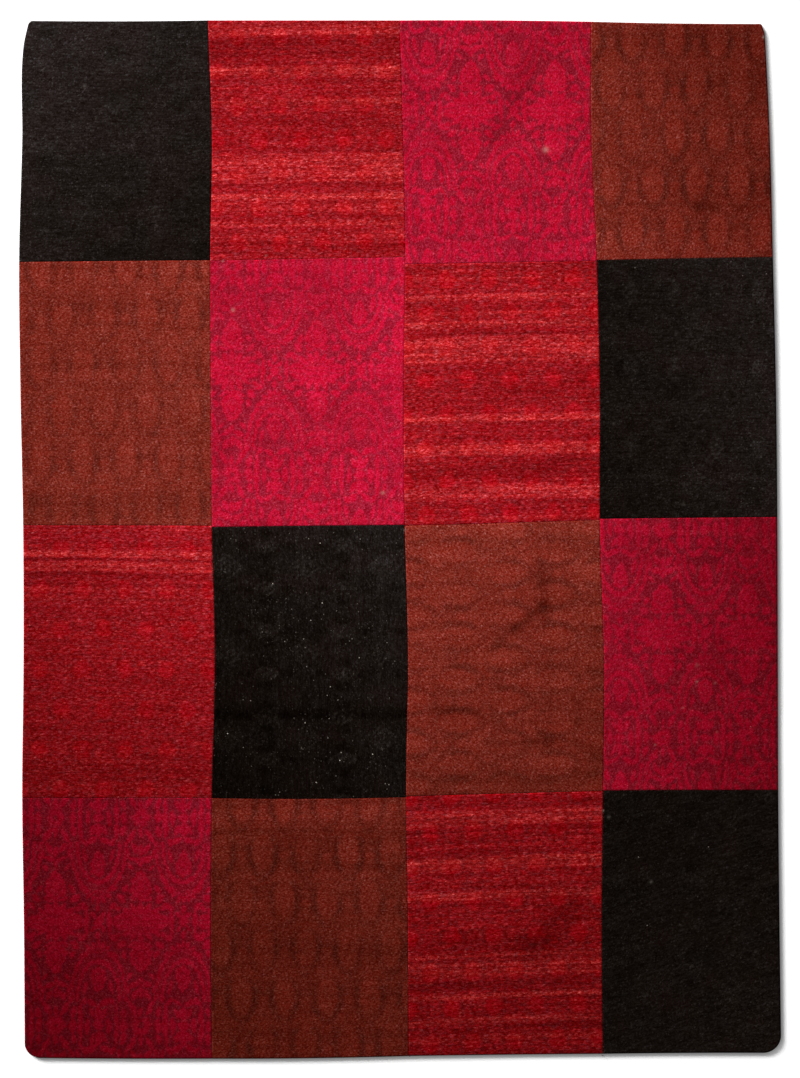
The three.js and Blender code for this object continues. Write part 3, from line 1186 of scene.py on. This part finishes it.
def lay_patch(patch, pile, material):
    """One closed patch of carpet that stands for its solid.

    The face is a grid with a knot at each crossing. Its height is the side's height plus a rounded shoulder
    that rises to the carpet's thickness, with the relief over it. The sides are rings of the rim's points
    carried down to the ground, where a fan closes the underside.
    """
    rng = np.random.default_rng(100 * patch.row + patch.strip)
    node = f"patch_r{patch.row}_s{patch.strip}_{patch.cloth}"
    low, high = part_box(node)
    width, length = high[0] - low[0], high[1] - low[1]
    knot_pitch = getattr(pile, f"{patch.cloth}_pitch")
    u, v = np.meshgrid(
        knot_lines(width, knot_pitch, pile.shoulder),
        knot_lines(length, knot_pitch, pile.shoulder),
    )
    x, y = patch_plan(patch, u, v, inset=0.0, overlap=pile.overlap)
    rise = edge_rise(patch, u * width, v * length, width, length, pile)
    values, relief = dye_knots(patch, pile, (u, v, x, y), rise, rng)
    z = pile.side_height + rise * (CARPET_THICKNESS - pile.side_height + relief)

    rim = rim_order(*x.shape)
    rings = []
    for inset, height in ((UNDERSIDE_INSET, 0.0), (0.0, MIDDLE_RING * pile.side_height)):
        ring_x, ring_y = patch_plan(patch, u.ravel()[rim], v.ravel()[rim], inset, pile.overlap)
        rings.append(np.stack((ring_x, ring_y, np.full_like(ring_x, height)), axis=-1))
    face = np.stack((x, y, z), axis=-1).reshape(-1, 3)
    middle = rings[0].mean(axis=0, keepdims=True)
    points = np.concatenate((face, *rings, middle))

    following = np.roll(np.arange(len(rim)), -1)
    lower = len(face) + np.arange(len(rim))
    upper = lower + len(rim)
    quads = np.concatenate((
        grid_quads(*x.shape),
        np.stack((lower, lower[following], upper[following], upper), axis=-1),
        np.stack((upper, upper[following], rim[following], rim), axis=-1),
    ))
    underside = np.stack((np.full_like(lower, len(points) - 1), lower[following], lower), axis=-1)
    mesh = make_mesh(node, points, quads, underside)
    draw_pile_lines(mesh, points, patch.slant)
    for key, knots in values.items():
        knots = knots.ravel()
        whole = np.concatenate((knots, knots[rim], knots[rim], knots.mean(keepdims=True)))
        mesh.attributes.new(key, "FLOAT", "POINT").data.foreach_set("value", whole.astype(np.float32))

    name = f"carpet_r{patch.row}_s{patch.strip}_{patch.cloth}"
    piece = place(name, mesh, material)
    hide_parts(node)


def draw_pile_lines(mesh, points, slant):
    """A UV map in metres: its first axis runs along the strokes of the pile and its second across them."""
    along, across = turned(points[:, 0], points[:, 1], slant)
    corners = np.empty(len(mesh.loops), np.int32)
    mesh.loops.foreach_get("vertex_index", corners)
    places = np.stack((along, across), axis=-1)[corners]
    mesh.uv_layers.new(name="pile").data.foreach_set("uv", places.astype(np.float32).ravel())


def lay_patches(scene, cloth):
    """Lays every patch of one cloth."""
    material = wool(cloth, scene.rug_dyes)
    for patch in PATCHES:
        if patch.cloth == cloth:
            lay_patch(patch, scene.rug_pile, material)


def new_material(name, roughness, mirror):
    """A material and its main shader, of the given roughness and mirror strength."""
    material = bpy.data.materials.new(name)
    material.use_nodes = True
    shader = material.node_tree.nodes["Principled BSDF"]
    shader.inputs["Roughness"].default_value = roughness
    shader.inputs["Specular IOR Level"].default_value = mirror
    return material, shader


def node_of(material, kind, inputs=(), **settings):
    """Adds a shader node. Inputs are pairs of a socket's name and its number or another node's output."""
    node = material.node_tree.nodes.new(kind)
    for name, value in settings.items():
        setattr(node, name, value)
    for name, value in inputs:
        if isinstance(value, bpy.types.NodeSocket):
            material.node_tree.links.new(value, node.inputs[name])
        else:
            node.inputs[name].default_value = value
    return node


def attribute(material, name):
    """The value that a mesh carries for each knot."""
    return node_of(material, "ShaderNodeAttribute", attribute_name=name).outputs["Fac"]


def blend(material, factor, first, second, mode="MIX"):
    """Blends two colours by a factor. Each is a number, a colour or another node's output."""
    inputs = ((0, factor), (6, first), (7, second))
    return node_of(material, "ShaderNodeMix", inputs, data_type="RGBA", blend_type=mode).outputs[2]


def worked_out(material, operation, *values):
    """Result of an arithmetic operation on numbers and other nodes' outputs."""
    return node_of(material, "ShaderNodeMath", enumerate(values), operation=operation).outputs[0]


def mapped(material, value, given, wanted):
    """Maps a value from the given range onto the wanted one, held at both ends."""
    return node_of(material, "ShaderNodeMapRange", enumerate((value, *given, *wanted))).outputs[0]


def stretched(material, places, along, across):
    """Places on which a pattern repeats so many times to a metre along and across the pile's lines."""
    inputs = (("Vector", places), ("Scale", (along, across, 1.0)))
    return node_of(material, "ShaderNodeMapping", inputs).outputs[0]


def stand_out(material, shader, heights, share, depth):
    """Lets a share of a pattern of heights stand out on the surface, of the given depth."""
    inputs = (("Strength", share), ("Distance", depth), ("Height", heights))
    bump = node_of(material, "ShaderNodeBump", inputs)
    material.node_tree.links.new(bump.outputs["Normal"], shader.inputs["Normal"])


def opaque(colour):
    """A colour with full alpha, as shader sockets take it."""
    return (*colour, 1.0)


def deepened(material, tone, green_power, blue_power):
    """A tone as a colour. Darker wool is deeper too, so green and blue follow powers of the tone."""
    green = worked_out(material, "POWER", tone, green_power)
    blue = worked_out(material, "POWER", tone, blue_power)
    return node_of(material, "ShaderNodeCombineColor", ((0, tone), (1, green), (2, blue))).outputs[0]


def pile_tone(material, pile_lines, knots, chance, finish):
    """Tone of the pile's texture.

    Each knot has its own tone, by chance, which painted shade between the tufts lowers towards the edge of
    its cell. Noise stretched along the pile's lines gives the strokes of the lie, and the lines where a
    second noise crosses its middle give the dark curls.
    """
    stroke_places = stretched(material, pile_lines, finish.stroke_count, finish.stroke_lines)
    strokes = node_of(
        material,
        "ShaderNodeTexNoise",
        (("Vector", stroke_places), ("Scale", 1.0), ("Detail", 1.0)),
        noise_dimensions="2D",
    ).outputs["Fac"]
    place_on_rug = node_of(material, "ShaderNodeTexCoord").outputs["Object"]
    curls = node_of(
        material,
        "ShaderNodeTexNoise",
        (
            ("Vector", place_on_rug),
            ("Scale", WOOL.curl_scale),
            ("Detail", 1.0),
            ("Distortion", WOOL.curl_distortion),
        ),
    ).outputs["Fac"]
    from_curl = worked_out(material, "ABSOLUTE", worked_out(material, "SUBTRACT", curls, 0.5))
    parts = (
        # Painted shade between the tufts, darker towards each knot's cell edge
        (knots.outputs["Distance"], WOOL.knot_edge, WOOL.knot_gap_shade_tones),
        (strokes, WOOL.stroke_range, (1 - finish.strokes, 1 + finish.strokes)),
        (from_curl, WOOL.curl_line, (1 - 2 * finish.curls, 1 + finish.curls)),
    )
    tone = mapped(material, chance, RISING, (1 - finish.knots, 1 + finish.knots))
    for value, given, wanted in parts:
        tone = worked_out(material, "MULTIPLY", tone, mapped(material, value, given, wanted))
    return tone


def wool(cloth, dyes):
    """Dyed wool, toned knot by knot.

    The ground and figure dyes mix by the mesh's figure. Cells of a Voronoi pattern are single knots, each
    with three chances of its own: for its tone, for paler tips and for wear. The mesh says where tips are
    paler, how much is worn, and where a knot is bare. Cotton shows in a worn knot by the square root of
    worn / (1 - chance), so that few knots are nearly bare and many are faintly paler.
    """
    ground = opaque(getattr(dyes, f"{cloth}_ground"))
    figure = opaque(getattr(dyes, f"{cloth}_figure"))
    tips = opaque(getattr(dyes, f"{cloth}_tips"))
    cotton = opaque(dyes.cotton)
    finish = FINISHES[cloth]
    material, shader = new_material(f"{cloth} wool", WOOL.roughness, mirror=0.0)
    shader.inputs["Sheen Weight"].default_value = WOOL.sheen
    shader.inputs["Sheen Roughness"].default_value = WOOL.sheen_roughness
    shader.inputs["Sheen Tint"].default_value = tips

    pile_lines = node_of(material, "ShaderNodeUVMap", uv_map="pile").outputs["UV"]
    knot_places = stretched(material, pile_lines, finish.knot_count, WOOL.knot_lines)
    knots = node_of(
        material,
        "ShaderNodeTexVoronoi",
        (("Vector", knot_places), ("Scale", 1.0)),
        voronoi_dimensions="2D",
    )
    chances = node_of(material, "ShaderNodeSeparateColor", ((0, knots.outputs["Color"]),))
    tone_chance, tip_chance, wear_chance = chances.outputs

    colour = blend(material, attribute(material, "figure"), ground, figure)
    speckle = mapped(material, tip_chance, RISING, WOOL.speckle)
    speckle = worked_out(material, "MULTIPLY", attribute(material, "light"), speckle)
    colour = blend(material, speckle, colour, tips)
    tipped = mapped(material, tip_chance, WOOL.tip_chance, (0.0, finish.tips))
    colour = blend(material, tipped, colour, tips)
    # The mesh's tone carries painted shade: the light's fall-off, the creases and the rounded edges and seams
    patch_tone = deepened(material, attribute(material, "tone"), WOOL.patch_green, WOOL.patch_blue)
    colour = blend(material, 1.0, colour, patch_tone, "MULTIPLY")
    knot_tone = pile_tone(material, pile_lines, knots, tone_chance, finish)
    knot_tone = deepened(material, knot_tone, finish.green, finish.blue)
    colour = blend(material, 1.0, colour, knot_tone, "MULTIPLY")

    unworn = worked_out(material, "SUBTRACT", 1.0, wear_chance)
    fleck = worked_out(material, "DIVIDE", attribute(material, "worn"), unworn)
    fleck = mapped(material, worked_out(material, "SQRT", fleck), WOOL.fleck_range, WOOL.fleck_cover)
    inner = mapped(material, knots.outputs["Distance"], WOOL.fleck_edge, FALLING)
    colour = blend(material, worked_out(material, "MULTIPLY", fleck, inner), colour, cotton)
    colour = blend(material, attribute(material, "bare"), colour, cotton)
    material.node_tree.links.new(colour, shader.inputs["Base Color"])

    tufts = mapped(material, knots.outputs["Distance"], WOOL.tuft_edge, FALLING)
    stand_out(material, shader, tufts, WOOL.tuft_strength, WOOL.tuft_depth)
    return material


def thread_wool(colour):
    """Spun sewing thread: fine slanting ply lines in bump, and in tone as a painted highlight on each ply."""
    material, shader = new_material("sewing thread", THREAD.roughness, THREAD.mirror)
    place_on_rug = node_of(material, "ShaderNodeTexCoord").outputs["Object"]
    ply = node_of(
        material,
        "ShaderNodeTexWave",
        (("Vector", place_on_rug), ("Scale", THREAD.ply_scale), ("Distortion", THREAD.ply_distortion)),
        bands_direction="DIAGONAL",
    ).outputs["Fac"]
    lit = tuple(THREAD.lit * part for part in colour)
    plied = blend(material, ply, opaque(colour), opaque(lit))
    material.node_tree.links.new(plied, shader.inputs["Base Color"])
    stand_out(material, shader, ply, THREAD.bump, THREAD.depth)
    return material


def seam_lines(pitch):
    """Places of the stitches on every seam: arrays of the point and of the seam's direction there."""
    points = []
    directions = []
    bottom, top = CAD_BOX[0][1], CAD_BOX[1][1]
    end = STITCH.long_seam_end
    along = bottom + np.linspace(end, 1 - end, round((top - bottom) / pitch)) * (top - bottom)
    for line in range(1, STRIPS):
        points.append(np.stack((lengthwise(line, along), along), axis=-1))
    end = STITCH.short_seam_end
    for strip in range(1, STRIPS + 1):
        for line in range(1, ROWS):
            middle = CROSSWISE_LINES[strip - 1, line, 1]
            left, right = lengthwise(strip - 1, middle), lengthwise(strip, middle)
            u = np.linspace(end, 1 - end, round((right - left) / pitch))
            points.append(np.stack((left + (right - left) * u, crosswise(strip, line, u)), axis=-1))
    for seam in points:
        step = np.gradient(seam, axis=0)
        directions.append(step / np.linalg.norm(step, axis=1, keepdims=True))
    return np.concatenate(points), np.concatenate(directions)


def sew_seams(scene):
    """Overcast stitches sunk in the grooves between the patches, as one mesh.

    A four-sided profile is carried along each stitch. The stitch slants across its seam, and its height is
    lowest in the middle of the groove and rises towards both ends by the square of the way out.
    """
    pile = scene.rug_pile
    rng = np.random.default_rng(STITCH.seed)
    place_on_seam, direction = seam_lines(pile.stitch_pitch)
    count = len(place_on_seam)
    slant = np.radians(rng.normal(STITCH.slant, STITCH.slant_spread, count))
    cosine, sine = np.cos(slant)[:, None], np.sin(slant)[:, None]
    normal = np.stack((-direction[:, 1], direction[:, 0]), axis=-1)
    run = direction * cosine + normal * sine
    side = direction * -sine + normal * cosine

    out = np.linspace(-1.0, 1.0, STITCH.points)
    half_length = STITCH.half_length * rng.uniform(STITCH.shortest, STITCH.longest, count)
    bottom = STITCH.height + STITCH.height_spread * rng.standard_normal(count)
    centre = place_on_seam[:, None, :] + out[None, :, None] * (half_length[:, None] * run)[:, None, :]
    height = bottom[:, None] + STITCH.end_rise * out[None, :] ** 2
    angle = 2 * np.pi * np.arange(STITCH.sides) / STITCH.sides
    radius = pile.thread / 2
    plan = centre[:, :, None, :] + radius * np.cos(angle)[:, None] * side[:, None, None, :]
    level = height[:, :, None] + radius * np.sin(angle)[None, None, :]
    points = np.concatenate((plan, level[..., None]), axis=-1).reshape(-1, 3)

    number = np.arange(count * STITCH.points * STITCH.sides).reshape(count, STITCH.points, STITCH.sides)
    around = np.roll(number, -1, axis=2)
    walls = np.stack((number[:, :-1], number[:, 1:], around[:, 1:], around[:, :-1]), axis=-1).reshape(-1, 4)
    caps = np.concatenate((number[:, 0], number[:, -1, ::-1]))
    mesh = make_mesh("seam_stitches", points, np.concatenate((walls, caps)))
    place("seam_stitches", mesh, thread_wool(scene.rug_dyes.thread))


def floor_material(stage):
    """Pale matt floor that gives off light of its own, less of it where the rug stands close by."""
    material, shader = new_material("pale floor", roughness=1.0, mirror=0.0)
    shader.inputs["Base Color"].default_value = opaque(stage.floor_tint)
    shader.inputs["Emission Color"].default_value = WHITE
    openness = node_of(
        material,
        "ShaderNodeAmbientOcclusion",
        (("Distance", FLOOR_SHADE_REACH),),
        samples=FLOOR_SHADE_SAMPLES,
    ).outputs["AO"]
    openness = worked_out(material, "MULTIPLY", openness, openness)
    glow = worked_out(material, "MULTIPLY", openness, stage.floor_glow)
    material.node_tree.links.new(glow, shader.inputs["Emission Strength"])
    return material


def lay_floor(stage):
    """The floor: one large square on the ground."""
    half = stage.floor_side / 2
    corners = np.array([(-half, -half), (half, -half), (half, half), (-half, half)])
    points = np.column_stack((corners, np.full(len(corners), CAD_BOX[0][2])))
    mesh = make_mesh("floor", points, np.array([(0, 1, 2, 3)]))
    mesh.materials.append(floor_material(stage))
    add_object("floor", mesh)


def hang_lights(stage):
    """The broad main light from the upper left, the near lamp, facing straight down, and an even fill."""
    sun = bpy.data.lights.new("main light", "SUN")
    sun.energy = stage.sun_strength
    sun.angle = stage.sun_spread
    main_light = add_object("main light", sun)
    main_light.rotation_euler = Vector(stage.sun_from).to_track_quat("Z", "Y").to_euler()

    area = bpy.data.lights.new("near lamp", "AREA")
    area.energy = stage.lamp_power
    area.size = stage.lamp_size
    lamp = add_object("near lamp", area)
    lamp.location = stage.lamp_place
    lamp.visible_camera = False

    world = bpy.data.worlds.new("studio")
    world.use_nodes = True
    background = world.node_tree.nodes["Background"]
    background.inputs["Color"].default_value = WHITE
    background.inputs["Strength"].default_value = stage.fill
    bpy.context.scene.world = world


def stand_camera(stage):
    """The camera straight above the middle of the picture, its lens set to take in the picture's height."""
    camera = bpy.data.cameras.new("camera")
    camera.sensor_width = CAMERA_SENSOR
    camera.lens = camera.sensor_width * stage.camera_height / (PICTURE_HEIGHT * PIXEL)
    camera.clip_end = CAMERA_REACH
    eye = add_object("camera", camera)
    eye.location = (0.0, PIXEL / 2, CARPET_THICKNESS + stage.camera_height)
    bpy.context.scene.camera = eye


class PatchLayer:
    """What the operators that lay the patches of one cloth have in common"""

    def execute(self, context):
        lay_patches(context.scene, self.cloth)
        return {"FINISHED"}


class RUG_OT_black_patches(PatchLayer, Operator):
    """Lays the four black patches"""

    bl_idname = "rug.black_patches"
    bl_label = "Black patches"
    cloth = "black"


class RUG_OT_striped_patches(PatchLayer, Operator):
    """Lays the four red patches with bands across them"""

    bl_idname = "rug.striped_patches"
    bl_label = "Striped patches"
    cloth = "striped"


class RUG_OT_crimson_patches(PatchLayer, Operator):
    """Lays the four crimson patches with a damask"""

    bl_idname = "rug.crimson_patches"
    bl_label = "Crimson patches"
    cloth = "crimson"


class RUG_OT_rust_patches(PatchLayer, Operator):
    """Lays the four rust patches with a trellis"""

    bl_idname = "rug.rust_patches"
    bl_label = "Rust patches"
    cloth = "rust"


class RUG_OT_seam_stitches(Operator):
    """Sews the patches together along every seam"""

    bl_idname = "rug.seam_stitches"
    bl_label = "Seam stitches"

    def execute(self, context):
        sew_seams(context.scene)
        return {"FINISHED"}


class RUG_OT_stage(Operator):
    """Sets the floor, the light and the camera"""

    bl_idname = "rug.stage"
    bl_label = "Stage"

    def execute(self, context):
        stage = context.scene.rug_stage
        lay_floor(stage)
        hang_lights(stage)
        stand_camera(stage)
        context.scene.view_settings.view_transform = "Standard"
        return {"FINISHED"}


class RUG_PT_sidebar(Panel):
    """Lists the rug's operators and sizes in the 3D view's sidebar"""

    bl_idname = "RUG_PT_sidebar"
    bl_label = "Patchwork Rug"
    bl_space_type = "VIEW_3D"
    bl_region_type = "UI"
    bl_category = "Rug"

    def draw(self, context):
        for operator in OPERATORS:
            self.layout.operator(operator.bl_idname)
        for group in (context.scene.rug_pile, context.scene.rug_dyes, context.scene.rug_stage):
            column = self.layout.column()
            for name in group.__annotations__:
                column.prop(group, name)


GROUPS = (RugPile, RugDyes, RugStage)
OPERATORS = (
    RUG_OT_black_patches,
    RUG_OT_striped_patches,
    RUG_OT_crimson_patches,
    RUG_OT_rust_patches,
    RUG_OT_seam_stitches,
    RUG_OT_stage,
)
CLASSES = (*GROUPS, *OPERATORS, RUG_PT_sidebar)


def register():
    """Registers the classes and hangs the rug's values on the scene."""
    for cls in CLASSES:
        bpy.utils.register_class(cls)
    bpy.types.Scene.rug_pile = PointerProperty(type=RugPile)
    bpy.types.Scene.rug_dyes = PointerProperty(type=RugDyes)
    bpy.types.Scene.rug_stage = PointerProperty(type=RugStage)


def unregister():
    """Takes the rug's values off the scene and unregisters the classes."""
    del bpy.types.Scene.rug_stage
    del bpy.types.Scene.rug_dyes
    del bpy.types.Scene.rug_pile
    for cls in reversed(CLASSES):
        bpy.utils.unregister_class(cls)


def main():
    """Builds the whole scene."""
    register()
    bpy.ops.rug.black_patches()
    bpy.ops.rug.striped_patches()
    bpy.ops.rug.crimson_patches()
    bpy.ops.rug.rust_patches()
    bpy.ops.rug.seam_stitches()
    bpy.ops.rug.stage()


if __name__ == "__main__":
    main()
